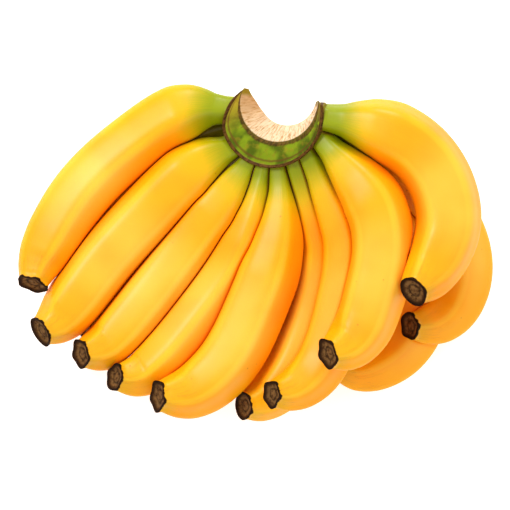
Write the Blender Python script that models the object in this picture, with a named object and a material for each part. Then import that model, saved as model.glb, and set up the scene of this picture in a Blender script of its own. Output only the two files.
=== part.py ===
"""A hand of ripe bananas: one crown, cut from its stalk, and the two rows of fruit that grew from it.

The hand lies on its back with the tips up. Units are metres, +Z is up. The origin is on the floor under
the middle of the hand, +X runs across the fan of fruit and +Y points to the crown's side of it.
"""

import math
from collections import namedtuple

import bpy
import numpy as np

MM = 0.001

# The crown is a C-shaped cushion round the stalk's axis, which leans out of the upright.
STALK_LEAN = math.radians(25)
STALK_LEAN_HEADING = math.radians(225)
CROWN_MIDDLE = np.array((10.1, 89.9, 80.0)) * MM
CROWN_HEIGHT = 31 * MM
WALL_RADIUS = 34 * MM
CROWN_SECTIONS = 40

# Each edge of the crown in plan: its centre, its first and last angle, and its radius along the C
Edge = namedtuple("Edge", "centre first last shares radii")
RIM = Edge((10.1, 89.9), 141, 371.5, (0, 0.12, 0.25, 1), (26.5, 30.7, 34, 33.5))
CUT_NEAR = Edge((14.1, 98.6), 156, 362.8, (0, 0.1, 0.9, 1), (24.8, 25.3, 25.3, 26.4))
CUT_FAR = Edge((20.8, 103.9), 171, 345.5, (0, 0.12, 0.25, 1), (26.3, 20.7, 18.7, 18.6))
HEIGHT_SHARES, HEIGHTS = (0, 0.2, 0.85, 1), (5, 31, 31, 9)
SLIMMEST = 0.35
LIP_HEIGHT = 1.8 * MM
LIP_WIDTH = 2.4 * MM
LIP_OUTER, LIP_INNER = 0.4 * MM, 1.2 * MM
FOOT_BEVEL = 1.5 * MM
FACE_BULGE, FACE_EDGE = 0.9 * MM, 0.7 * MM
CUT_BEVEL, CUT_HOLLOW, CUT_FOOT = 0.4 * MM, 0.8 * MM, 2 * MM

# The fruit leave the crown's outer wall in two rows.
FRONT, BACK = "front", "back"
ROW_DEPTH = {FRONT: 10 * MM, BACK: 23.5 * MM}
ROOT_SHARE = -0.05
LINE_SAMPLES = 180
LINE_POINTS = 600
NECK_END, NECK_RINGS = 0.06, 10
TIP_CROWDING = 0.94
SIDES = 16
RINGS = 26
FACETS = 5
FACET_POWER = 5.5
GAP = 0.9 * MM
WALL_GAP = 0.45 * MM
PRESS_RANGE, PRESS_HALVINGS = 60 * MM, 16
TIP_PRESS, PRESS_FADE = 4 * MM, 0.7
WALL_STEPS = 8
DISH_DEPTH = 2.4 * MM
DISH_SHARE = 0.62

# How the fruit swells over its neck, from 0 at the crown to 1, and tapers over its whole length
NECK_SHARES, NECK_SWELL = (0, 0.18, 0.36, 0.67, 1, 1.5), (0, 0.10, 0.36, 0.78, 1, 1)
BODY_SHARES = (0, 0.62, 0.78, 0.87, 0.93, 0.965, 0.985, 1)
BODY_GIRTHS = (1, 1, 0.96, 0.86, 0.70, 0.56, 0.48, 0.465)

# The photo looks straight down on the hand. A place in it is px right and px down from its corner.
PHOTO_MIDDLE = 255
PHOTO_SCALE = 2 / 3 * MM
SCALE_HEIGHT = 50 * MM
EYE = np.array((-1.2, -1.4, 2550)) * MM

Fruit = namedtuple("Fruit", "name row rim stalk neck radius roll path")

# rim: where on the crown it starts, in degrees from +X; stalk: its radius there in mm; neck: the share of
# the length over which it swells; radius: its largest in mm; roll: how far its first facet is turned from the top;
# path: px right, px down and height in mm, from neck to tip.
FRUITS = (
    Fruit("banana_front_1", FRONT, 176, 9.5, 0.18, 21, 20,
          ((196, 109, 58), (140, 138, 51), (88, 184, 49), (55, 233, 50), (40, 263, 54), (32, 285, 62))),
    Fruit("banana_front_2", FRONT, 219, 8.5, 0.22, 21.5, 0,
          ((205, 161, 56), (153, 209, 51), (104, 262, 49), (74, 302, 52), (56, 322, 56), (40, 332, 63))),
    Fruit("banana_front_3", FRONT, 241, 7.5, 0.25, 20, 10,
          ((232, 187, 55), (205, 223, 50), (167, 274, 46), (129, 322, 48), (104, 346, 53), (80, 354, 65))),
    Fruit("banana_front_4", FRONT, 256, 7.5, 0.30, 19.5, 30,
          ((255, 200, 54), (229, 268, 47), (190, 323, 46), (160, 358, 49), (138, 374, 53), (114, 377, 64))),
    Fruit("banana_front_5", FRONT, 272, 7, 0.4, 21.5, 15,
          ((281, 205, 60), (273, 255, 58), (252, 313, 57), (225, 363, 57), (190, 391, 61), (157, 396, 73))),
    Fruit("banana_front_6", FRONT, 290, 7, 0.4, 19.5, 0,
          ((309, 205, 55), (324, 245, 43), (319, 298, 38), (303, 345, 38), (283, 382, 41), (262, 400, 45),
           (243, 406, 55))),
    Fruit("banana_front_7", FRONT, 307, 7, 0.4, 18.5, 20,
          ((330, 200, 66), (348, 245, 64), (342, 300, 62), (328, 348, 61), (309, 378, 64), (288, 391, 71),
           (271, 394, 81))),
    Fruit("banana_front_8", FRONT, 329, 8, 0.33, 21, 10,
          ((348, 169, 79), (373, 203, 82), (382, 247, 82), (373, 297, 82), (361, 329, 83), (346, 346, 88),
           (327, 354, 98))),
    Fruit("banana_front_9", FRONT, 353, 9.5, 0.26, 22, 0,
          ((375, 127, 82), (417, 149, 80), (445, 193, 79), (448, 228, 80), (439, 254, 83), (426, 275, 90),
           (413, 292, 103))),
    Fruit("banana_back_1", BACK, 340, 7, 0.4, 19.5, 36,
          ((375, 148, 55), (425, 190, 34), (459, 240, 20), (463, 281, 17.5), (450, 310, 22), (429, 324, 33),
           (409, 326, 45))),
    Fruit("banana_back_2", BACK, 318, 7, 0.4, 19, 36,
          ((365, 185, 44), (402, 235, 22), (421, 288, 17), (410, 338, 17.5), (379, 365, 20), (355, 371, 25),
           (336, 365, 32))),
    Fruit("banana_back_3", BACK, 299, 7, 0.4, 17.5, 36,
          ((335, 205, 34), (357, 260, 17.5), (355, 318, 15.5), (345, 337, 16.5), (336, 348, 16.5))),
    Fruit("banana_back_4", BACK, 280, 7, 0.4, 18, 36,
          ((298, 210, 32), (288, 270, 17), (262, 325, 16), (229, 360, 19), (202, 375, 27))),
    Fruit("banana_back_5", BACK, 262, 7, 0.4, 18, 36,
          ((262, 205, 31), (235, 262, 17), (198, 312, 16), (167, 339, 19), (145, 347, 26))),
    Fruit("banana_back_6", BACK, 241, 7, 0.4, 18, 36,
          ((225, 190, 31), (185, 235, 17.5), (140, 283, 16), (107, 313, 23), (84, 330, 36))),
    Fruit("banana_back_7", BACK, 200, 8, 0.35, 18, 36,
          ((197, 136, 38), (150, 175, 19), (105, 218, 16), (77, 247, 21), (58, 273, 30))),
)

# Colour, roughness, metallic
CROWN_LOOK = ((0.16, 0.17, 0.02, 1), 0.55, 0)
FRUIT_LOOK = ((0.95, 0.52, 0.01, 1), 0.4, 0)


def heading_vector(heading, rise):
    """Unit vector with this heading in plan, raised out of it by rise; both in radians."""
    return np.array((math.cos(heading) * math.cos(rise), math.sin(heading) * math.cos(rise), math.sin(rise)))


STALK = heading_vector(STALK_LEAN_HEADING, math.pi / 2 - STALK_LEAN)


def smooth_curve(x, knots, values):
    """Smooth curve through the knots that never swings past them.

    Cubic pieces, whose slope at a knot is the harmonic mean of the slopes on its two sides, or level where
    those differ in sign.
    """
    knots, values = np.asarray(knots, float), np.asarray(values, float)
    steps = np.diff(values) / np.diff(knots)
    product, total = steps[:-1] * steps[1:], steps[:-1] + steps[1:]
    inner = np.where(product > 0, 2 * product / np.where(total == 0, 1, total), 0)
    slopes = np.concatenate((steps[:1], inner, steps[-1:]))
    i = np.clip(np.searchsorted(knots, x) - 1, 0, len(knots) - 2)
    width = knots[i + 1] - knots[i]
    t = np.clip((x - knots[i]) / width, 0, 1)
    start = (1 + 2 * t) * (1 - t) ** 2 * values[i] + t * (1 - t) ** 2 * width * slopes[i]
    end = t * t * (3 - 2 * t) * values[i + 1] - t * t * (1 - t) * width * slopes[i + 1]
    return start + end


def under_top(plan, depth):
    """Points seen in plan at these places, this deep under the crown's slanted top."""
    drop = ((plan - CROWN_MIDDLE[:2]) @ STALK[:2] + depth) / STALK[2]
    return np.concatenate((plan, (CROWN_MIDDLE[2] - drop)[..., None]), axis=-1)


def down_stalk(plan, depth):
    """Points on the crown's slanted top over these places, moved down the stalk's axis by depth."""
    depth = np.asarray(depth, float)
    return under_top(plan, np.zeros(len(plan))) - depth[..., None] * STALK


def edge_plan(edge, share, inset=0.0):
    """Plan points of an edge of the crown at each share of the C, moved towards its centre by inset."""
    angle = np.radians(edge.first + (edge.last - edge.first) * share)
    radius = smooth_curve(share, edge.shares, edge.radii) * MM - inset
    return np.array(edge.centre) * MM + radius[:, None] * np.stack((np.cos(angle), np.sin(angle)), axis=-1)


def crown_grid():
    """The crown's sections along the C, each a closed ring of points from its wall over its face to its cut."""
    share = np.linspace(0, 1, CROWN_SECTIONS)
    height = smooth_curve(share, HEIGHT_SHARES, HEIGHTS) * MM
    slim = np.clip(height / CROWN_HEIGHT, SLIMMEST, 1)
    rim, near, far = edge_plan(RIM, share), edge_plan(CUT_NEAR, share), edge_plan(CUT_FAR, share)
    full = slim[:, None]
    lip_foot = edge_plan(RIM, share, LIP_WIDTH) * full + (1 - full) * (rim + near) / 2
    cut_depth = height - CUT_FOOT
    rows = (
        down_stalk(edge_plan(RIM, share, FOOT_BEVEL), height),
        down_stalk(rim, height - FOOT_BEVEL),
        down_stalk(rim, height / 2),
        down_stalk(rim, 0 * height),
        down_stalk(edge_plan(RIM, share, LIP_OUTER), -0.7 * LIP_HEIGHT * slim),
        down_stalk(edge_plan(RIM, share, LIP_INNER * slim), -LIP_HEIGHT * slim),
        under_top(lip_foot, 0 * height),
        under_top((lip_foot + near) / 2, -FACE_BULGE * slim),
        under_top(near + (lip_foot - near) / 8, -FACE_EDGE * slim),
        under_top(near, CUT_BEVEL * slim),
        under_top((near + far) / 2, cut_depth / 2 - CUT_HOLLOW * slim),
        under_top(far, cut_depth),
    )
    return np.stack(rows, axis=1)


def spline(knots, values, places):
    """Cubic spline through the values at the knots, straight at both ends."""
    width = np.diff(knots)
    system, turn = np.eye(len(knots)), np.zeros_like(values)
    for i in range(1, len(knots) - 1):
        system[i, i - 1:i + 2] = width[i - 1], 2 * (width[i - 1] + width[i]), width[i]
        turn[i] = 6 * ((values[i + 1] - values[i]) / width[i] - (values[i] - values[i - 1]) / width[i - 1])
    bend = np.linalg.solve(system, turn)
    i = np.clip(np.searchsorted(knots, places) - 1, 0, len(knots) - 2)
    w = width[i][:, None]
    b = (places - knots[i])[:, None] / w
    a = 1 - b
    bent = ((a ** 3 - a) * bend[i] + (b ** 3 - b) * bend[i + 1]) * w * w / 6
    return a * values[i] + b * values[i + 1] + bent


def from_photo(path):
    """Points seen at these places in the photo at these heights."""
    place = np.array(path, float)
    height = place[:, 2:] * MM
    scale = (EYE[2] - height) / (EYE[2] - SCALE_HEIGHT) * PHOTO_SCALE
    plan = EYE[:2] + scale * (place[:, :2] - PHOTO_MIDDLE) * (1, -1)
    return np.concatenate((plan, height), axis=1)


def centre_line(fruit):
    """Points, directions and shares of the length along the fruit; shares under zero are inside the crown."""
    rim = math.radians(fruit.rim)
    place = CROWN_MIDDLE[:2] + WALL_RADIUS * np.array((math.cos(rim), math.sin(rim)))
    start = down_stalk(place[None], [ROW_DEPTH[fruit.row]])
    points = np.concatenate((start, from_photo(fruit.path)))
    knots = np.concatenate(([0], np.cumsum(np.linalg.norm(np.diff(points, axis=0), axis=1))))
    places = np.linspace(ROOT_SHARE * knots[-1], knots[-1], LINE_POINTS)
    line = spline(knots, points, places)
    length = np.concatenate(([0], np.cumsum(np.linalg.norm(np.diff(line, axis=0), axis=1))))
    length -= np.interp(0, places, length)
    share = length / length[-1]
    direction = np.gradient(line, share, axis=0)
    return line, direction / np.linalg.norm(direction, axis=1, keepdims=True), share


def girth(fruit, share):
    """The fruit's radius at each share of its length."""
    swell = smooth_curve(share / fruit.neck, NECK_SHARES, NECK_SWELL)
    return (fruit.stalk + (fruit.radius - fruit.stalk) * swell) * MM * smooth_curve(share, BODY_SHARES, BODY_GIRTHS)


def at_shares(share, line, direction, shares):
    """Points and unit directions of a centre line at these shares of its length."""
    points = np.stack([np.interp(share, shares, line[:, k]) for k in range(3)], axis=-1)
    along = np.stack([np.interp(share, shares, direction[:, k]) for k in range(3)], axis=-1)
    return points, along / np.linalg.norm(along, axis=-1, keepdims=True)


def reach(fruit):
    """Balls strung along a fruit that stand for it when a neighbour presses on it: centres and radii."""
    line, direction, shares = centre_line(fruit)
    share = np.linspace(shares[0], 1, LINE_SAMPLES)
    centres, _ = at_shares(share, line, direction, shares)
    length = np.linalg.norm(np.diff(centres, axis=0), axis=1).sum()
    return centres, np.minimum(girth(fruit, share), TIP_PRESS + PRESS_FADE * (1 - share) * length)


def pressed_radius(centres, outward, free, own_radius, others):
    """Largest radius up to free at which each point keeps its own side of the middle between two fruits.

    A point is on its own side while its height over its own fruit plus the gap is no more than its
    height over any ball of another fruit. Found by halving the interval.
    """
    low, high = np.zeros_like(free), free.copy()
    ball_centres = np.concatenate([centres_ for centres_, _ in others])
    ball_radii = np.concatenate([radii for _, radii in others])
    for _ in range(PRESS_HALVINGS):
        middle = 0.5 * (low + high)
        points = centres + middle[..., None] * outward
        away = np.full(middle.shape, np.inf)
        for i in range(len(points)):
            near = np.linalg.norm(ball_centres - centres[i, 0], axis=1) < PRESS_RANGE
            gaps = np.linalg.norm(points[i][:, None] - ball_centres[near], axis=2) - ball_radii[near]
            away[i] = gaps.min(axis=1) if near.any() else np.inf
        good = middle - own_radius + GAP <= away
        low, high = np.where(good, middle, low), np.where(good, high, middle)
    return np.where(high >= free, free, low)


def fruit_columns(fruit, others, rings):
    """Surface of a fruit, ring by ring from inside the crown to its tip, pressed by its neighbours and floor."""
    line, direction, shares = centre_line(fruit)
    root = np.linspace(shares[0], NECK_END, NECK_RINGS)[:-1]
    share = np.concatenate((root, np.linspace(NECK_END, 1, rings)))
    centres, along = at_shares(share, line, direction, shares)
    up = np.array((0, 0, 1)) - along[:, 2:] * along
    up /= np.linalg.norm(up, axis=1, keepdims=True)
    side = np.cross(along, up)
    angle = np.linspace(0, 2 * math.pi, SIDES, endpoint=False)
    outward = up[:, None] * np.cos(angle)[:, None] + side[:, None] * np.sin(angle)[:, None]
    free = girth(fruit, share)[:, None]
    facets = np.radians(fruit.roll) + 2 * math.pi * np.arange(FACETS) / FACETS
    facing = np.maximum(np.cos(angle[:, None] - facets), 0)
    section = (facing ** FACET_POWER).sum(axis=1) ** (-1 / FACET_POWER)
    section /= section.mean() * math.cos(math.pi / SIDES)
    radius = pressed_radius(centres[:, None], outward, free * section, free, others)
    floor = centres[:, None, 2] / np.maximum(-outward[..., 2], 1e-6)
    radius = np.where(outward[..., 2] < 0, np.minimum(radius, floor), radius)
    return centres[:, None] + radius[..., None] * outward, share


def wall_height(points):
    """How far each point stands out of the crown's outer wall, less the gap kept from it."""
    top = points + (((CROWN_MIDDLE - points) @ STALK))[..., None] * STALK
    return np.linalg.norm(top[..., :2] - CROWN_MIDDLE[:2], axis=-1) - WALL_RADIUS - WALL_GAP


def trimmed(columns, share, rings):
    """The columns cut where they leave the crown's wall and spaced again from there to the tip."""
    heights = wall_height(columns)
    spacing = np.linspace(0, 1, rings) ** TIP_CROWDING
    result = np.empty((rings, columns.shape[1], 3))
    for j in range(columns.shape[1]):
        inside = np.nonzero(heights[: len(share) // 2, j] < 0)[0]
        i = inside[-1]
        t = -heights[i, j] / (heights[i + 1, j] - heights[i, j])
        first = share[i] + t * (share[i + 1] - share[i])
        places = first + (1 - first) * spacing
        for k in range(3):
            result[:, j, k] = np.interp(places, share, columns[:, j, k])
    return result


def on_wall(point):
    """The point moved along its heading from the stalk's axis on to the crown's wall, with the gap."""
    for _ in range(WALL_STEPS):
        top = point + ((CROWN_MIDDLE - point) @ STALK) * STALK
        outward = top[:2] - CROWN_MIDDLE[:2]
        outward = np.append(outward / np.linalg.norm(outward), 0)
        point = point - wall_height(point[None])[0] * outward
    return point


def fruit_rings(fruit, others):
    """The finished rings of a fruit, its dished flower end included, and the points that close both ends."""
    columns, share = fruit_columns(fruit, others, 2 * RINGS)
    rings = trimmed(columns, share, RINGS)
    tip = rings[-1].mean(axis=0)
    inward = rings[-2].mean(axis=0) - tip
    inward *= DISH_DEPTH / np.linalg.norm(inward)
    dish = tip + DISH_SHARE * (rings[-1] - tip) + inward
    rings = np.concatenate((rings, dish[None]))
    return rings, on_wall(rings[0].mean(axis=0)), dish.mean(axis=0)


def closed_faces(rings, sides):
    """Faces of a tube of rings whose two ends are fans round the two points that follow the rings."""
    def place(i, j):
        return i * sides + j % sides
    walls = [(place(i, j), place(i, j + 1), place(i + 1, j + 1), place(i + 1, j))
             for i in range(rings - 1) for j in range(sides)]
    first, last = rings * sides, rings * sides + 1
    fans = [(first, place(0, j + 1), place(0, j)) for j in range(sides)]
    fans += [(last, place(rings - 1, j), place(rings - 1, j + 1)) for j in range(sides)]
    return walls + fans


def add_piece(name, grid, first, last, look):
    """One closed solid from a grid of rings and the points that close its ends."""
    mesh = bpy.data.meshes.new(name)
    points = np.concatenate((grid.reshape(-1, 3), first[None], last[None]))
    mesh.from_pydata(points.tolist(), [], closed_faces(grid.shape[0], grid.shape[1]))
    mesh.validate()
    piece = bpy.data.objects.new(name, mesh)
    bpy.context.collection.objects.link(piece)
    volume = 0.0
    mesh.calc_loop_triangles()
    for triangle in mesh.loop_triangles:
        a, b, c = (mesh.vertices[k].co for k in triangle.vertices)
        volume += a.dot(b.cross(c)) / 6
    if volume < 0:
        mesh.flip_normals()
    mesh.shade_smooth()
    material = bpy.data.materials.new(name + "_look")
    material.use_nodes = True
    shader = material.node_tree.nodes["Principled BSDF"]
    colour, roughness, metallic = look
    shader.inputs["Base Color"].default_value = colour
    shader.inputs["Roughness"].default_value = roughness
    shader.inputs["Metallic"].default_value = metallic
    material.diffuse_color = colour
    mesh.materials.append(material)
    return piece


for old in list(bpy.data.objects):
    bpy.data.objects.remove(old)

crown = crown_grid()
add_piece("crown", crown, crown[0].mean(axis=0), crown[-1].mean(axis=0), CROWN_LOOK)

reaches = {fruit.name: reach(fruit) for fruit in FRUITS}
for fruit in FRUITS:
    others = [reaches[other.name] for other in FRUITS if other is not fruit]
    grid, first, last = fruit_rings(fruit, others)
    add_piece(fruit.name, grid, first, last, FRUIT_LOOK)
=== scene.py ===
"""A hand of ripe bananas lying on its lower row of fruit, seen from straight above."""

import math
from collections import namedtuple

import bpy
import numpy as np
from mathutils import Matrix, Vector


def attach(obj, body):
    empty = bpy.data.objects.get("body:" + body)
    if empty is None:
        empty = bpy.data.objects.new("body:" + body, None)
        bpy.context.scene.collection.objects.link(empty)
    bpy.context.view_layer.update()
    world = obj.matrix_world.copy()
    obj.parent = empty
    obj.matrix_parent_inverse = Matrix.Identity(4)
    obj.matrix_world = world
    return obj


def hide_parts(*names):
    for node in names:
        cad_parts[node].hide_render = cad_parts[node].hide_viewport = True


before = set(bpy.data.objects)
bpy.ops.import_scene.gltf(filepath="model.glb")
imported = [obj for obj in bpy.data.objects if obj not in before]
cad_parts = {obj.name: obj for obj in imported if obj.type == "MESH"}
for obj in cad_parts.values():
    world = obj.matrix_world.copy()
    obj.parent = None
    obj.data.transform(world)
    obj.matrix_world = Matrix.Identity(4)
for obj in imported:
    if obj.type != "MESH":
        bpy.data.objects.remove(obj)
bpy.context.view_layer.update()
MM = 0.001


# The crown: the cushion of green tissue that all the stalks grow from. A knife left its inner side open
# as a pale fibrous cut, and its outer edge has dried to a dark raised rim. It is one piece, lofted from
# sections along its C.

STALK_LEAN, STALK_LEAN_HEADING = math.radians(25), math.radians(225)
CROWN_MIDDLE = np.array((10.1, 89.9, 80.0)) * MM
CROWN_HEIGHT = 31 * MM
WALL_RADIUS = 34 * MM
SLIMMEST = 0.35
LIP_HEIGHT = 1.8 * MM
LIP_WIDTH = 2.4 * MM
LIP_OUTER, LIP_INNER = 0.4 * MM, 1.2 * MM
LIP_SHOULDER = 0.7
FOOT_BEVEL = 1.5 * MM
FACE_BULGE, FACE_EDGE = 0.9 * MM, 0.7 * MM
CUT_BEVEL, CUT_HOLLOW, CUT_FOOT = 0.4 * MM, 0.8 * MM, 2 * MM
FACE_END = 1 / 8

# centre and radii in mm, first and last in degrees from +X, shares of the way along the C
Edge = namedtuple("Edge", "centre first last shares radii")
RIM = Edge((10.1, 89.9), 141, 371.5, (0, 0.12, 0.25, 1), (26.5, 30.7, 34, 33.5))
CUT_NEAR = Edge((14.1, 98.6), 156, 362.8, (0, 0.1, 0.9, 1), (24.8, 25.3, 25.3, 26.4))
CUT_FAR = Edge((20.8, 103.9), 171, 345.5, (0, 0.12, 0.25, 1), (26.3, 20.7, 18.7, 18.6))
HEIGHT_SHARES, HEIGHTS = (0, 0.2, 0.85, 1), (5, 31, 31, 9)
CROWN_SECTIONS, CROWN_ROUNDING = 260, 2


def heading_vector(heading, rise):
    """Unit vector with this heading in plan, raised out of it by rise."""
    return np.array((math.cos(heading) * math.cos(rise), math.sin(heading) * math.cos(rise), math.sin(rise)))


STALK = heading_vector(STALK_LEAN_HEADING, math.pi / 2 - STALK_LEAN)


def smooth_curve(x, knots, values):
    """Cubic pieces through the knots; a knot's slope is its two sides' harmonic mean, or level at a turn."""
    knots, values = np.asarray(knots, float), np.asarray(values, float)
    steps = np.diff(values) / np.diff(knots)
    product, total = steps[:-1] * steps[1:], steps[:-1] + steps[1:]
    inner = np.where(product > 0, 2 * product / np.where(total == 0, 1, total), 0)
    slopes = np.concatenate((steps[:1], inner, steps[-1:]))
    i = np.clip(np.searchsorted(knots, x) - 1, 0, len(knots) - 2)
    width = knots[i + 1] - knots[i]
    t = np.clip((x - knots[i]) / width, 0, 1)
    start = (1 + 2 * t) * (1 - t) ** 2 * values[i] + t * (1 - t) ** 2 * width * slopes[i]
    end = t * t * (3 - 2 * t) * values[i + 1] - t * t * (1 - t) * width * slopes[i + 1]
    return start + end


def under_top(plan, depth):
    """Points over these places in plan, this deep under the crown's slanted top."""
    drop = ((plan - CROWN_MIDDLE[:2]) @ STALK[:2] + depth) / STALK[2]
    return np.concatenate((plan, (CROWN_MIDDLE[2] - drop)[..., None]), axis=-1)


def down_stalk(plan, depth):
    """Points of the slanted top over these places, moved down the stalk's axis by depth."""
    return under_top(plan, np.zeros(len(plan))) - np.asarray(depth, float)[..., None] * STALK


def edge_plan(edge, share, inset=0.0):
    """Arc of the edge in plan: its centre plus its radius, less the inset, at the angle for each share."""
    angle = np.radians(edge.first + (edge.last - edge.first) * share)
    radius = smooth_curve(share, edge.shares, edge.radii) * MM - inset
    return np.array(edge.centre) * MM + radius[:, None] * np.stack((np.cos(angle), np.sin(angle)), axis=-1)


def crown_rows(share):
    """The twelve edges that run along the C, from the wall's foot over the rim and face to the cut's foot."""
    height = smooth_curve(share, HEIGHT_SHARES, HEIGHTS) * MM
    slim = np.clip(height / CROWN_HEIGHT, SLIMMEST, 1)
    rim, near, far = edge_plan(RIM, share), edge_plan(CUT_NEAR, share), edge_plan(CUT_FAR, share)
    full = slim[:, None]
    lip_foot = edge_plan(RIM, share, LIP_WIDTH) * full + (1 - full) * (rim + near) / 2
    cut_depth = height - CUT_FOOT
    return np.stack((
        down_stalk(edge_plan(RIM, share, FOOT_BEVEL), height),
        down_stalk(rim, height - FOOT_BEVEL),
        down_stalk(rim, height / 2),
        down_stalk(rim, 0 * height),
        down_stalk(edge_plan(RIM, share, LIP_OUTER), -LIP_SHOULDER * LIP_HEIGHT * slim),
        down_stalk(edge_plan(RIM, share, LIP_INNER * slim), -LIP_HEIGHT * slim),
        under_top(lip_foot, 0 * height),
        under_top((lip_foot + near) / 2, -FACE_BULGE * slim),
        under_top(near + (lip_foot - near) * FACE_END, -FACE_EDGE * slim),
        under_top(near, CUT_BEVEL * slim),
        under_top((near + far) / 2, cut_depth / 2 - CUT_HOLLOW * slim),
        under_top(far, cut_depth)), axis=1)


# Steps given to the stretch after each of the twelve edges
STRETCH_STEPS = np.array((4, 20, 20, 4, 4, 8, 30, 30, 6, 40, 40, 34))


def crown_profile():
    """Share of each of the twelve edges at each step round a section.

    A step lies straight between two edges, and its shares are then averaged with those of its two sides.
    """
    edges = len(STRETCH_STEPS)
    place = np.repeat(np.arange(edges), STRETCH_STEPS)
    place = place + np.concatenate([np.arange(n) / n for n in STRETCH_STEPS])
    first = place.astype(int)
    weights = np.zeros((len(place), edges))
    weights[np.arange(len(place)), first] = 1 - (place - first)
    weights[np.arange(len(place)), (first + 1) % edges] += place - first
    for _ in range(CROWN_ROUNDING):
        weights = (np.roll(weights, 1, 0) + weights + np.roll(weights, -1, 0)) / 3
    return weights, place


def add_surface(name, grid, uv, ends, values=None):
    """Closed solid from rings of points, each ring a row of the grid, with a fan round a point at each end.

    uv gives each point its place along the two ways of the surface; values are named numbers per point.
    """
    rings, sides = grid.shape[:2]
    start = np.arange(rings)[:, None] * sides + np.arange(sides)
    turned = np.roll(start, -1, axis=1)
    walls = np.stack((start[:-1], turned[:-1], turned[1:], start[1:]), axis=-1).reshape(-1, 4)
    first, last = rings * sides, rings * sides + 1
    fans = np.concatenate((np.stack((np.full(sides, first), turned[0], start[0]), -1),
                           np.stack((np.full(sides, last), start[-1], turned[-1]), -1)))
    points = np.concatenate((grid.reshape(-1, 3), ends))
    mesh = bpy.data.meshes.new(name)
    mesh.vertices.add(len(points))
    mesh.vertices.foreach_set("co", points.ravel())
    corners = np.concatenate((walls.ravel(), fans.ravel()))
    mesh.loops.add(len(corners))
    mesh.loops.foreach_set("vertex_index", corners.astype(np.int32))
    mesh.polygons.add(len(walls) + len(fans))
    starts = np.concatenate((np.arange(len(walls)) * 4, len(walls) * 4 + np.arange(len(fans)) * 3))
    mesh.polygons.foreach_set("loop_start", starts.astype(np.int32))
    mesh.update(calc_edges=True)
    layer = mesh.uv_layers.new(name="surface_uv")
    around, along = uv
    seam = np.concatenate((around, np.ones((rings, 1))), axis=1)
    wall_u = np.stack((seam[:-1, :-1], seam[:-1, 1:], seam[1:, 1:], seam[1:, :-1]), axis=-1)
    wall_v = np.stack((along[:-1], along[:-1], along[1:], along[1:]), axis=-1)
    fan_u = np.concatenate((np.stack((seam[0, :-1], seam[0, 1:], seam[0, :-1]), -1),
                            np.stack((seam[-1, :-1], seam[-1, :-1], seam[-1, 1:]), -1)))
    fan_v = np.concatenate((np.full((sides, 3), along[0, 0]), np.full((sides, 3), along[-1, 0])))
    flat = np.stack((np.concatenate((wall_u.ravel(), fan_u.ravel())),
                     np.concatenate((wall_v.ravel(), fan_v.ravel()))), axis=-1)
    layer.data.foreach_set("uv", flat.astype(np.float32).ravel())
    for key, value in (values or {}).items():
        attribute = mesh.attributes.new(key, "FLOAT", "POINT")
        full = np.concatenate((value.ravel(), (value[0].mean(), value[-1].mean())))
        attribute.data.foreach_set("value", full.astype(np.float32))
    piece = bpy.data.objects.new(name, mesh)
    bpy.context.collection.objects.link(piece)
    one, two, three = (points[walls[:, k]] for k in range(3))
    if np.einsum("ij,ij->i", one, np.cross(two, three)).sum() < 0:
        mesh.flip_normals()
    mesh.shade_smooth()
    return piece


# Where the Mix node keeps its sockets for colours
MIX_SHARE, MIX_UNDER, MIX_OVER, MIX_COLOUR = 0, 6, 7, 2


class Wave:
    """A shader socket that takes part in sums: numbers through Math nodes, colours through Mix nodes."""

    def __init__(self, sheet, socket):
        self.sheet, self.socket = sheet, socket

    def math(self, operation, *others):
        """Math node over this value and the others."""
        return self.sheet.node("ShaderNodeMath", {"operation": operation}, dict(enumerate((self, *others))))

    def __add__(self, other): return self.math("ADD", other)
    def __sub__(self, other): return self.math("SUBTRACT", other)
    def __mul__(self, other): return self.math("MULTIPLY", other)
    def __radd__(self, other): return self.math("ADD", other)
    def __rmul__(self, other): return self.math("MULTIPLY", other)
    def __rsub__(self, other): return (self * -1) + other

    def ramp(self, low, high):
        """0 below low, 1 above high and a smooth step between; low may be the larger."""
        return self.sheet.node("ShaderNodeMapRange", {"interpolation_type": "SMOOTHSTEP"},
                               {"Value": self, "From Min": low, "From Max": high})

    def tint(self, under, over):
        """Colour under where this value is 0 and colour over where it is 1."""
        return self.sheet.node("ShaderNodeMix", {"data_type": "RGBA"},
                               {MIX_SHARE: self, MIX_UNDER: under, MIX_OVER: over}, output=MIX_COLOUR)


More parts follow.
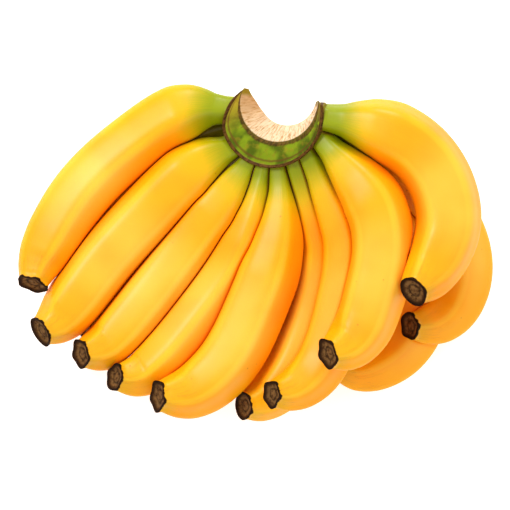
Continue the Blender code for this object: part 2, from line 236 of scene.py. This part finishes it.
class Sheet:
    """One material's nodes."""

    def __init__(self, name):
        self.material = bpy.data.materials.new(name)
        self.material.use_nodes = True
        self.nodes, self.links = self.material.node_tree.nodes, self.material.node_tree.links
        self.shader = self.nodes["Principled BSDF"]

    def node(self, kind, settings, values, output=0):
        """Any node: its settings first, then the values or links of its sockets."""
        made = self.nodes.new(kind)
        for key, value in settings.items():
            setattr(made, key, value)
        for key, value in values.items():
            self.feed(made.inputs[key], value)
        return Wave(self, made.outputs[output])

    def feed(self, socket, value):
        """Links a Wave to a socket, or sets the socket's own value."""
        if isinstance(value, Wave):
            self.links.new(value.socket, socket)
        elif isinstance(value, tuple) and len(value) == 3 and socket.type == "RGBA":
            socket.default_value = (*value, 1)
        else:
            socket.default_value = value

    def place(self):
        """Object coordinates."""
        return self.node("ShaderNodeTexCoord", {}, {}, output="Object")

    def number(self, name):
        """A value stored on the mesh's points."""
        return self.node("ShaderNodeAttribute", {"attribute_name": name}, {}, output="Fac")

    def lay(self, across, along, third=0.0):
        """A vector from three values."""
        return self.node("ShaderNodeCombineXYZ", {}, {0: across, 1: along, 2: third})

    def noise(self, place, scale, detail=3.0, roughness=0.5, warp=0.0):
        """Noise around 0.5."""
        return self.node("ShaderNodeTexNoise", {}, {"Vector": place, "Scale": scale, "Detail": detail,
                                                    "Roughness": roughness, "Distortion": warp})

    def bump(self, height, distance, strength):
        """Normal of a surface raised by height times distance."""
        return self.node("ShaderNodeBump", {}, {"Height": height, "Distance": distance, "Strength": strength})

    def finish(self, **values):
        """Sets or links the shader's sockets, their names written with underscores."""
        for key, value in values.items():
            self.feed(self.shader.inputs[key.replace("_", " ")], value)
        return self.material


# Places round a section, counted in edges: the rim's inner side, the thin line inside it, the face's torn
# end and the cut's two ends
LIP_SIDE, THIN_LINE, TORN_FROM, CUT_FROM, CUT_TO = 6.05, 6.30, 7.70, 8.95, 11.5


def crown_material():
    """Green mottled face, dark dry rim and edges, and pale fibres over the cut."""
    sheet = Sheet("crown_tissue")
    place = sheet.place()
    arc, step = sheet.number("arc"), sheet.number("step")
    grain = sheet.noise(place, 420, 3, 0.6)
    blotch = sheet.noise(place, 190, 3, 0.55)
    patch = sheet.noise(sheet.lay(arc * 13, step * 0.42), 1, 2, 0.45, 0.3)
    streak = sheet.noise(sheet.lay(arc * 60, step * 0.8), 1, 4, 0.65)
    ragged = (sheet.noise(sheet.lay(arc * 34, 0.0), 1, 3) - 0.5) * 0.5

    deep_green, bright_green, olive = (0.080, 0.12, 0.004), (0.21, 0.29, 0.008), (0.30, 0.22, 0.014)
    dry_brown, dark_brown = (0.135, 0.058, 0.010), (0.050, 0.020, 0.004)
    first_horn, last_horn = (0.40, 0.25, 0.018), (0.30, 0.17, 0.035)
    face = patch.ramp(0.36, 0.62).tint(deep_green, bright_green)
    face = (blotch.ramp(0.50, 0.68) * 0.45).tint(face, olive)
    face = (arc.ramp(0.30, 0.08) * 0.8).tint(face, first_horn)
    face = (arc.ramp(0.86, 0.97) * 0.75).tint(face, last_horn)
    face = (streak.ramp(0.56, 0.72) * 0.45).tint(face, dry_brown)
    inner_line = 1 - (step + ragged * 0.3 - THIN_LINE).math("ABSOLUTE").ramp(0.03, 0.16)
    face = (inner_line * 0.7).tint(face, dry_brown)
    lip = streak.ramp(0.38, 0.62).tint(dark_brown, dry_brown)
    on_lip = (step + ragged * 0.4).ramp(LIP_SIDE, 5.75)
    skin = on_lip.tint(face, lip)
    wall = (step + ragged).ramp(3.0, 2.4)
    skin = (wall * 0.8).tint(skin, olive)
    torn = (step + ragged * 0.9 + arc.ramp(0.60, 0.88) * 0.6).ramp(TORN_FROM, 7.95) * step.ramp(9.10, 8.98)
    skin = (torn * 0.88).tint(skin, streak.ramp(0.4, 0.6).tint(dark_brown, dry_brown))

    fibre = sheet.noise(sheet.lay(arc * 78, step * 1.1), 1, 4, 0.7, 0.25)
    coarse = sheet.noise(sheet.lay(arc * 22, step * 0.9), 1, 3, 0.6)
    pale, tan, pink, amber = (0.74, 0.55, 0.35), (0.42, 0.22, 0.08), (0.68, 0.46, 0.30), (0.66, 0.34, 0.09)
    cut = fibre.ramp(0.36, 0.56).tint(tan, pale)
    cut = (coarse.ramp(0.48, 0.66) * 0.6).tint(cut, pink)
    cut = (arc.ramp(0.36, 0.12) * 0.5).tint(cut, amber)
    on_cut = (step + ragged * 0.3).ramp(CUT_FROM, 9.10) * step.ramp(CUT_TO, 11.2) * arc.ramp(0.03, 0.07)
    on_cut = on_cut * arc.ramp(0.985, 0.94)
    colour = on_cut.tint(skin, cut)
    height = fibre * on_cut * 0.9 + (streak * 0.8 + blotch * 0.5) * (1 - on_cut) + grain * 0.2
    return sheet.finish(Base_Color=colour, Roughness=on_cut * 0.3 + 0.48, Specular_IOR_Level=0.08,
                        Normal=sheet.bump(height, 0.7 * MM, 0.8), Subsurface_Weight=0.05,
                        Subsurface_Radius=(0.4, 0.25, 0.1), Subsurface_Scale=1.5 * MM)


crown_share = np.linspace(0, 1, CROWN_SECTIONS)
crown_weights, crown_place = crown_profile()
crown_grid = np.einsum("pk,skc->spc", crown_weights, crown_rows(crown_share))
crown_around = np.broadcast_to(np.arange(len(crown_place)) / len(crown_place), crown_grid.shape[:2])
crown_along = np.broadcast_to(crown_share[:, None], crown_grid.shape[:2])
crown = add_surface("crown_flesh", crown_grid, (crown_around, crown_along), crown_grid[[0, -1]].mean(axis=1),
                    {"arc": crown_along, "step": np.broadcast_to(crown_place, crown_grid.shape[:2])})
crown.data.materials.append(crown_material())
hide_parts("crown")
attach(crown, "root")


# The fruit: each is one grown piece, its stalk, its five-sided body and the dried end of its flower. Its
# neighbours press it flat where they touch, and the floor flattens the lower row. The skin is smooth and
# waxy, green at the stalk and dark at the flower end.

FRONT, BACK = "front", "back"
ROW_DEPTH = {FRONT: 10 * MM, BACK: 23.5 * MM}
ROOT_SHARE = -0.045
SIDES = 96
NECK_RINGS, BODY_RINGS, TIP_RINGS = 23, 127, 40
NECK_END, TIP_START = 0.04, 0.93
LINE_POINTS = 2000
FACETS, FACET_POWER = 5, 5.5
GAP = 0.35 * MM
ROUNDING = 1.6 * MM
SKIN_SHARE = 0.974
NECK_SHARES, NECK_SWELL = (0, 0.18, 0.36, 0.67, 1, 1.5), (0, 0.10, 0.36, 0.78, 1, 1)
BODY_SHARES = (0, 0.62, 0.78, 0.87, 0.93, 0.965, 0.985, 1)
BODY_GIRTHS = (1, 1, 0.96, 0.86, 0.70, 0.56, 0.48, 0.465)
BALLS = 220
WITHERED_SHARES, WITHERED = (0, 0.97, 0.99, 1), (0, 0, 0.5, 1)
FRAY_OVAL, FRAY_FACETS, FRAY_LOBES, FRAY_DRAW = 0.20, 0.04, 0.025, 0.10
FRAY_LEAN, LEAN_STEP, LOBES = 0.5, 7, 3
LEVEL = 0.05
SCAR_SCALES = (0.93, 0.84, 0.74, 0.62, 0.50, 0.38, 0.26, 0.14)
SCAR_DEPTHS = (0.1, 0.7, 1.5, 2.1, 2.3, 2.2, 1.9, 1.7)
SCAR_SHARES = 1.01, 1.08
SEED_STEP = 7.3
PRESS_START = 1.6

PHOTO_WIDTH, PHOTO_MIDDLE = 510, 255
PHOTO_SCALE = 2 / 3 * MM
SCALE_HEIGHT = 50 * MM
EYE = np.array((-1.2, -1.4, 2550)) * MM

Fruit = namedtuple("Fruit", "name row rim stalk neck radius roll path")

# rim: where on the crown it starts, in degrees from +X; stalk: its radius there in mm; neck: the share of
# the length over which it swells; radius: its largest in mm; roll: how far its first facet is turned from
# the top; path: px right, px down and height in mm, from neck to tip.
FRUITS = (
    Fruit("banana_front_1", FRONT, 176, 9.5, 0.18, 21, 20,
          ((196, 109, 58), (140, 138, 51), (88, 184, 49), (55, 233, 50), (40, 263, 54), (32, 285, 62))),
    Fruit("banana_front_2", FRONT, 219, 8.5, 0.22, 21.5, 0,
          ((205, 161, 56), (153, 209, 51), (104, 262, 49), (74, 302, 52), (56, 322, 56), (40, 332, 63))),
    Fruit("banana_front_3", FRONT, 241, 7.5, 0.25, 20, 10,
          ((232, 187, 55), (205, 223, 50), (167, 274, 46), (129, 322, 48), (104, 346, 53), (80, 354, 65))),
    Fruit("banana_front_4", FRONT, 256, 7.5, 0.30, 19.5, 30,
          ((255, 200, 54), (229, 268, 47), (190, 323, 46), (160, 358, 49), (138, 374, 53), (114, 377, 64))),
    Fruit("banana_front_5", FRONT, 272, 7, 0.4, 21.5, 15,
          ((281, 205, 60), (273, 255, 58), (252, 313, 57), (225, 363, 57), (190, 391, 61), (157, 396, 73))),
    Fruit("banana_front_6", FRONT, 290, 7, 0.4, 19.5, 0,
          ((309, 205, 55), (324, 245, 43), (319, 298, 38), (303, 345, 38), (283, 382, 41), (262, 400, 45),
           (243, 406, 55))),
    Fruit("banana_front_7", FRONT, 307, 7, 0.4, 18.5, 20,
          ((330, 200, 66), (348, 245, 64), (342, 300, 62), (328, 348, 61), (309, 378, 64), (288, 391, 71),
           (271, 394, 81))),
    Fruit("banana_front_8", FRONT, 329, 8, 0.33, 21, 10,
          ((348, 169, 79), (373, 203, 82), (382, 247, 82), (373, 297, 82), (361, 329, 83), (346, 346, 88),
           (327, 354, 98))),
    Fruit("banana_front_9", FRONT, 353, 9.5, 0.26, 22, 0,
          ((375, 127, 82), (417, 149, 80), (445, 193, 79), (448, 228, 80), (439, 254, 83), (426, 275, 90),
           (413, 292, 103))),
    Fruit("banana_back_1", BACK, 340, 7, 0.4, 19.5, 36,
          ((375, 148, 55), (425, 190, 34), (459, 240, 20), (463, 281, 17.5), (450, 310, 22), (429, 324, 33),
           (409, 326, 45))),
    Fruit("banana_back_2", BACK, 318, 7, 0.4, 19, 36,
          ((365, 185, 44), (402, 235, 22), (421, 288, 17), (410, 338, 17.5), (379, 365, 20), (355, 371, 25),
           (336, 365, 32))),
    Fruit("banana_back_3", BACK, 299, 7, 0.4, 17.5, 36,
          ((335, 205, 34), (357, 260, 17.5), (355, 318, 15.5), (345, 337, 16.5), (336, 348, 16.5))),
    Fruit("banana_back_4", BACK, 280, 7, 0.4, 18, 36,
          ((298, 210, 32), (288, 270, 17), (262, 325, 16), (229, 360, 19), (202, 375, 27))),
    Fruit("banana_back_5", BACK, 262, 7, 0.4, 18, 36,
          ((262, 205, 31), (235, 262, 17), (198, 312, 16), (167, 339, 19), (145, 347, 26))),
    Fruit("banana_back_6", BACK, 241, 7, 0.4, 18, 36,
          ((225, 190, 31), (185, 235, 17.5), (140, 283, 16), (107, 313, 23), (84, 330, 36))),
    Fruit("banana_back_7", BACK, 200, 8, 0.35, 18, 36,
          ((197, 136, 38), (150, 175, 19), (105, 218, 16), (77, 247, 21), (58, 273, 30))),
)


def spline(knots, values, places):
    """Natural cubic spline: its bend at the knots gives equal slopes on both sides, and is 0 at the ends."""
    width = np.diff(knots)
    system, turn = np.eye(len(knots)), np.zeros_like(values)
    for i in range(1, len(knots) - 1):
        system[i, i - 1:i + 2] = width[i - 1], 2 * (width[i - 1] + width[i]), width[i]
        turn[i] = 6 * ((values[i + 1] - values[i]) / width[i] - (values[i] - values[i - 1]) / width[i - 1])
    bend = np.linalg.solve(system, turn)
    i = np.clip(np.searchsorted(knots, places) - 1, 0, len(knots) - 2)
    w = width[i][:, None]
    b = (places - knots[i])[:, None] / w
    a = 1 - b
    bow = ((a ** 3 - a) * bend[i] + (b ** 3 - b) * bend[i + 1]) * w * w / 6
    return a * values[i] + b * values[i + 1] + bow


def from_photo(path):
    """Points on the lines of sight from the eye through these places, at these heights."""
    place = np.array(path, float)
    height = place[:, 2:] * MM
    scale = (EYE[2] - height) / (EYE[2] - SCALE_HEIGHT) * PHOTO_SCALE
    return np.concatenate((EYE[:2] + scale * (place[:, :2] - PHOTO_MIDDLE) * (1, -1), height), axis=1)


def centre_line(fruit):
    """Spline from the crown's wall through the path: points, unit directions and shares of its length."""
    rim = math.radians(fruit.rim)
    place = CROWN_MIDDLE[:2] + WALL_RADIUS * np.array((math.cos(rim), math.sin(rim)))
    points = np.concatenate((down_stalk(place[None], [ROW_DEPTH[fruit.row]]), from_photo(fruit.path)))
    knots = np.concatenate(([0], np.cumsum(np.linalg.norm(np.diff(points, axis=0), axis=1))))
    places = np.linspace(ROOT_SHARE * knots[-1], knots[-1], LINE_POINTS)
    line = spline(knots, points, places)
    length = np.concatenate(([0], np.cumsum(np.linalg.norm(np.diff(line, axis=0), axis=1))))
    length -= np.interp(0, places, length)
    share = length / length[-1]
    direction = np.gradient(line, share, axis=0)
    return line, direction / np.linalg.norm(direction, axis=1, keepdims=True), share


def sampled(fruit, share):
    """The centre line's points and unit directions at these shares of its length."""
    line, direction, shares = centre_line(fruit)
    points = np.stack([np.interp(share, shares, line[:, k]) for k in range(3)], axis=-1)
    along = np.stack([np.interp(share, shares, direction[:, k]) for k in range(3)], axis=-1)
    return points, along / np.linalg.norm(along, axis=-1, keepdims=True)


def girth(fruit, share):
    """Radius: from the stalk's to the full one along the neck, times the taper of the whole body."""
    swell = smooth_curve(share / fruit.neck, NECK_SHARES, NECK_SWELL)
    taper = smooth_curve(share, BODY_SHARES, BODY_GIRTHS)
    return (fruit.stalk + (fruit.radius - fruit.stalk) * swell) * MM * taper


Reach = namedtuple("Reach", "centres along radii slopes spacing")
TIP_BALL, TIP_ROOM = 4 * MM, 0.7
BALL_REACH = 0.6
NEAR_ENOUGH = 6 * MM
PRESS_TRIES, LEAST_SHARE = 8, 0.2


def reach(fruit):
    """Balls strung along a fruit, with their directions and how their radii change, for its neighbours.

    Near the tip a ball is kept small by the length of fruit that is left, so that it stays inside the fruit.
    """
    share = np.linspace(ROOT_SHARE, 1, BALLS)
    centres, along = sampled(fruit, share)
    spacing = np.linalg.norm(centres[1] - centres[0])
    left = TIP_BALL + TIP_ROOM * (1 - share) * spacing * BALLS
    radii = np.minimum(girth(fruit, share), left)
    return Reach(centres, along, radii, np.gradient(radii, spacing), spacing)


def height_over(points, other):
    """Distance of each point from the line through its nearest ball, less the other fruit's radius there."""
    square = (points ** 2).sum(1)[:, None] - 2 * points @ other.centres.T + (other.centres ** 2).sum(1)
    k = square.argmin(axis=1)
    offset = points - other.centres[k]
    ends = BALL_REACH * other.spacing
    along = np.clip((offset * other.along[k]).sum(axis=1), -ends, ends)
    distance = np.sqrt(np.maximum((offset ** 2).sum(axis=1) - along ** 2, 0))
    return distance - other.radii[k] - other.slopes[k] * along


def pressed_radius(centres, outward, free, own, others):
    """Radius at which a point stands as high over its own fruit, plus the gap, as over its nearest neighbour.

    It is found by false position between a fifth of the free radius and the free radius.
    """
    def excess(at):
        points = centres + at[:, None] * outward
        return at - own + GAP - np.min([height_over(points, other) for other in others], axis=0)

    result = free.copy()
    high_excess = excess(free)
    hit = np.nonzero(high_excess > 0)[0]
    if not len(hit):
        return result
    centres, outward, own = centres[hit], outward[hit], own[hit]
    low, high = LEAST_SHARE * free[hit], free[hit]
    low_excess, high_excess = excess(low), high_excess[hit]
    for _ in range(PRESS_TRIES):
        middle = low - low_excess * (high - low) / (high_excess - low_excess)
        here = excess(middle)
        over = here > 0
        low_excess = np.where(over, 0.5 * low_excess, here)
        high_excess = np.where(over, here, 0.5 * high_excess)
        low, high = np.where(over, low, middle), np.where(over, middle, high)
    result[hit] = middle
    return result


def softer(one, two, width):
    """The smaller of two values, rounded where they are nearer than width to each other."""
    near = np.maximum(width - np.abs(one - two), 0) / width
    return np.minimum(one, two) - near ** 2 * width / 4


def fruit_surface(fruit, others):
    """Rings of five-sided section round the centre line, pressed by neighbours and floor.

    The free radius at an angle goes as the sum of the facets' cosines, each to FACET_POWER, to minus one over
    that power. Neighbours and floor leave it less, and the last rings wither to an uneven edge. Returns the
    grid, each ring's share of the length, each side's angle from the top, and each point's press.
    """
    share = np.concatenate((np.linspace(ROOT_SHARE, NECK_END, NECK_RINGS + 1)[:-1],
                            np.linspace(NECK_END, TIP_START, BODY_RINGS),
                            np.linspace(TIP_START, 1, TIP_RINGS + 1)[1:]))
    centres, along = sampled(fruit, share)
    up = np.array((0, 0, 1)) - along[:, 2:] * along
    up /= np.linalg.norm(up, axis=1, keepdims=True)
    side = np.cross(along, up)
    angle = np.linspace(0, 2 * math.pi, SIDES, endpoint=False)
    outward = up[:, None] * np.cos(angle)[:, None] + side[:, None] * np.sin(angle)[:, None]
    own = np.broadcast_to(girth(fruit, share)[:, None], outward.shape[:2])
    facets = np.radians(fruit.roll) + 2 * math.pi * np.arange(FACETS) / FACETS
    facing = np.maximum(np.cos(angle[:, None] - facets), 0)
    section = (facing ** FACET_POWER).sum(axis=1) ** (-1 / FACET_POWER)
    free = SKIN_SHARE * own * section / section.mean()
    start = np.broadcast_to(centres[:, None], outward.shape)
    pressed = pressed_radius(start.reshape(-1, 3), outward.reshape(-1, 3), (free + ROUNDING).ravel(),
                             own.ravel(), others).reshape(free.shape)
    radius = softer(free, pressed, ROUNDING)
    down = -outward[..., 2]
    ground = np.where(down > LEVEL, start[..., 2] / np.maximum(down, LEVEL), 1.0)
    radius = softer(radius, ground, ROUNDING)
    withered = smooth_curve(share, WITHERED_SHARES, WITHERED)[:, None]
    lean = FRAY_LEAN * math.sin(LEAN_STEP * fruit.rim)
    frayed = FRAY_OVAL * np.abs(np.sin(angle + lean)) ** 4 + FRAY_FACETS * np.cos(FACETS * angle + fruit.roll)
    frayed = frayed + FRAY_LOBES * np.cos(LOBES * angle + fruit.rim)
    grid = start + (radius * (1 + withered * (frayed - FRAY_DRAW)))[..., None] * outward
    grid[..., 2] = np.maximum(grid[..., 2], 0)
    return grid, share, angle, np.clip((free - pressed) / MM + PRESS_START, 0, 3)


def flower_end(grid):
    """The dried flower end: the last ring drawn inward in steps to a dished scar with a raised middle."""
    last, middle = grid[-1], grid[-1].mean(axis=0)
    inward = grid[-6].mean(axis=0) - middle
    inward /= np.linalg.norm(inward)
    scales, depths = (np.array(values)[:, None, None] for values in (SCAR_SCALES, SCAR_DEPTHS))
    return middle + scales * (last - middle) + depths * MM * inward


def skin_material():
    """Banana skin: green stalk, golden body with fine fibres, flecks and a dark flower end, with painted
    highlights on the upper ridges and upper middle and painted shade where fruits press together.
    """
    sheet = Sheet("banana_skin")
    place = sheet.place()
    share, upward, across = sheet.number("share"), sheet.number("upward"), sheet.number("across")
    seed, press = sheet.number("seed"), sheet.number("press")
    lower, ridge = sheet.number("lower"), sheet.number("ridge")
    top = upward.ramp(0.25, 0.85)
    fibre = sheet.noise(sheet.lay(across * 9, upward * 9, share * 3.2 + seed), 3.2, 4, 0.65)
    broad = sheet.noise(place, 22, 2, 0.5)
    fine = sheet.noise(place, 420, 3, 0.6)

    golden, deep, pale = (0.95, 0.375, 0.003), (0.93, 0.31, 0.002), (0.98, 0.53, 0.018)
    highlight_cream, contact_shade_orange = (0.97, 0.55, 0.075), (0.86, 0.235, 0.002)
    colour = broad.ramp(0.30, 0.62).tint(deep, golden)
    colour = (fibre.ramp(0.40, 0.75) * 0.35).tint(colour, golden)
    # Painted highlight: paler colour on the ridges of the upward-facing side.
    colour = (ridge.ramp(0.80, 1.0) * share.ramp(0.12, 0.4) * (broad + 0.1) * top * 0.75).tint(colour, pale)
    # Painted highlight: a soft cream patch on the upper side of the middle of each fruit.
    highlight_patch = share.ramp(0.30, 0.52) * share.ramp(0.88, 0.62) * upward.ramp(0.2, 0.95) * (broad + 0.1)
    colour = (highlight_patch * 0.7).tint(colour, highlight_cream)
    # Painted shade: deeper orange where neighbours press on the fruit.
    colour = (press.ramp(0.9, 2.0) * 0.55).tint(colour, contact_shade_orange)

    ragged = (fibre - 0.5) * 0.06 + (broad - 0.5) * 0.06
    lime, green, olive = (0.60, 0.41, 0.002), (0.25, 0.29, 0.001), (0.13, 0.09, 0.005)
    crease_shade_brown, tip_olive = (0.30, 0.145, 0.016), (0.55, 0.36, 0.006)
    colour = ((share + ragged).ramp(0.24, 0.09) * 0.9).tint(colour, lime)
    colour = ((share + ragged).ramp(0.145, 0.03)).tint(colour, green)
    # Painted shade: the lower row's stalks turn dark olive near the crown, under the upper row.
    colour = (lower * share.ramp(0.26, 0.12) * 0.8).tint(colour, olive)
    # Painted shade: brown in the creases where the stalks press together near the crown.
    crease = press.ramp(0.55, 1.5) * share.ramp(0.20, 0.08)
    colour = (crease * 0.8).tint(colour, crease_shade_brown)
    near_tip = (share + ragged * 0.4).ramp(0.93, 0.985)
    colour = (near_tip * 0.45).tint(colour, tip_olive)

    fleck_brown, scratch_brown = (0.30, 0.11, 0.008), (0.38, 0.13, 0.008)
    fleck_map = sheet.node("ShaderNodeTexVoronoi", {}, {"Vector": place, "Scale": 130.0, "Randomness": 1.0})
    fleck = fleck_map.ramp(0.10, 0.05) * sheet.noise(place, 55, 1).ramp(0.60, 0.68)
    colour = (fleck * 0.5).tint(colour, fleck_brown)
    line = sheet.noise(sheet.lay(across * 5, upward * 5, share * 1.1 + seed), 4.0, 2, 0.5)
    scratch = (1 - (line - 0.5).math("ABSOLUTE").ramp(0.0, 0.012)) * share.ramp(0.82, 0.95)
    colour = (scratch * 0.55).tint(colour, scratch_brown)

    edge = (sheet.noise(sheet.lay(across * 1.6, upward * 1.6, seed), 1.5, 2, 0.5) - 0.5) * 0.016
    cap = (share + edge + ridge.ramp(0.5, 1.0) * 0.003).ramp(0.9925, 0.996)
    black, brown, light_brown = (0.007, 0.003, 0.001), (0.050, 0.018, 0.005), (0.23, 0.11, 0.034)
    char = (fibre.ramp(0.38, 0.62) * 0.5).tint(black, brown)
    char = share.ramp(1.012, 1.03).tint(char, brown)
    rays = (fine * 0.6 + fibre * 0.4).ramp(0.38, 0.56)
    char = (share.ramp(1.022, 1.040) * rays * 0.85).tint(char, light_brown)
    char = (share.ramp(1.048, 1.056) * share.ramp(1.068, 1.060) * 0.6).tint(char, black)
    colour = cap.tint(colour, char)
    height = fibre * 0.35 + fine * 0.10 + cap * (fine * 2.0 + fibre * 2.5) - fleck * 0.3 - scratch * 0.5
    return sheet.finish(Base_Color=colour, Roughness=cap * 0.28 + fibre * 0.08 + 0.36,
                        Specular_IOR_Level=0.05, Normal=sheet.bump(height, 0.35 * MM, 0.5),
                        Subsurface_Weight=0.08, Subsurface_Radius=(1.0, 0.4, 0.05), Subsurface_Scale=3 * MM,
                        Coat_Weight=(1 - cap) * top * 0.42, Coat_Roughness=0.34, Coat_IOR=1.45)


skin = skin_material()
reaches = {fruit.name: reach(fruit) for fruit in FRUITS}


def neighbours(fruit):
    """The other fruits whose balls come near enough to this one's to press on it."""
    own = reaches[fruit.name]
    found = []
    for other in FRUITS:
        far = reaches[other.name]
        gap = np.linalg.norm(own.centres[::4, None] - far.centres[None, ::4], axis=2)
        gap = gap - own.radii[::4, None] - far.radii[None, ::4]
        if other is not fruit and gap.min() < NEAR_ENOUGH:
            found.append(far)
    return found


def add_fruit(fruit, seed):
    """One fruit over its solid. The share runs on past 1 over the rings of its flower end."""
    grid, share, angle, press = fruit_surface(fruit, neighbours(fruit))
    scar = flower_end(grid)
    grid = np.concatenate((grid, scar))
    share = np.concatenate((share, np.linspace(*SCAR_SHARES, len(scar))))
    press = np.concatenate((press, np.zeros(scar.shape[:2])))
    shape = grid.shape[:2]
    around = np.broadcast_to(angle / (2 * math.pi), shape)
    along = np.broadcast_to(share[:, None], shape)
    corner = np.cos(FACETS * (angle - math.radians(fruit.roll)))
    values = {"share": along, "press": press, "ridge": np.broadcast_to(0.5 - 0.5 * corner, shape),
              "upward": np.broadcast_to(np.cos(angle), shape),
              "across": np.broadcast_to(np.sin(angle), shape),
              "seed": np.full(shape, seed * SEED_STEP), "lower": np.full(shape, float(fruit.row == BACK))}
    piece = add_surface(fruit.name + "_skin", grid, (around, along), grid[[0, -1]].mean(axis=1), values)
    piece.data.materials.append(skin)
    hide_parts(fruit.name)
    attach(piece, "root")


for number, fruit in enumerate(FRUITS):
    add_fruit(fruit, number)


# The floor: a plain white sheet under the lower row, wide enough for every view. It glows a little, so that
# it stays as white as the photo's ground.

FLOOR_HALF, FLOOR_DROP = 4, 0.2 * MM
floor_corners = [(x * FLOOR_HALF, y * FLOOR_HALF, -FLOOR_DROP)
                 for x, y in ((-1, -1), (1, -1), (1, 1), (-1, 1))]
floor_mesh = bpy.data.meshes.new("floor")
floor_mesh.from_pydata(floor_corners, [], [(0, 1, 2, 3)])
floor = bpy.data.objects.new("floor", floor_mesh)
bpy.context.collection.objects.link(floor)
paper = Sheet("white_paper")
floor_mesh.materials.append(paper.finish(Base_Color=(0.93, 0.93, 0.93), Roughness=0.9, Specular_IOR_Level=0.1,
                                         Emission_Color=(1, 1, 1), Emission_Strength=0.45))


# The light: a soft key from the upper left, a lower lamp behind the crown, a broad faint fill from the
# lower right, and a bright white room.

MIDDLE_OF_HAND = Vector((0, 0, 0.05))


def add_lamp(name, place, size, power):
    """Square area light at a place, turned to the middle of the hand."""
    lamp = bpy.data.lights.new(name, "AREA")
    lamp.shape, lamp.size, lamp.energy = "SQUARE", size, power
    holder = bpy.data.objects.new(name, lamp)
    bpy.context.collection.objects.link(holder)
    holder.location = place
    holder.rotation_euler = (Vector(place) - MIDDLE_OF_HAND).to_track_quat("Z", "Y").to_euler()


add_lamp("key", (-0.85, 0.75, 1.5), 0.45, 16)
add_lamp("back", (0.1, 1.3, 0.75), 0.4, 9)
add_lamp("fill", (1.1, -0.9, 1.3), 1.2, 4)

world = bpy.data.worlds.new("room")
world.use_nodes = True
world.node_tree.nodes["Background"].inputs["Color"].default_value = (1, 1, 1, 1)
world.node_tree.nodes["Background"].inputs["Strength"].default_value = 0.86
bpy.context.scene.world = world
bpy.context.scene.view_settings.view_transform = "Standard"


# The camera: straight above, far off with a long lens, as the photo is seen. Its lens makes a pixel the
# photo's scale at SCALE_HEIGHT over the floor.

SENSOR_WIDTH = 36
lens = bpy.data.cameras.new("eye")
lens.sensor_fit, lens.sensor_width = "HORIZONTAL", SENSOR_WIDTH
lens.lens = SENSOR_WIDTH * (EYE[2] - SCALE_HEIGHT) / (PHOTO_WIDTH * PHOTO_SCALE)
lens.clip_start, lens.clip_end = 0.1, 20
camera = bpy.data.objects.new("eye", lens)
camera.location = EYE
bpy.context.collection.objects.link(camera)
bpy.context.scene.camera = camera
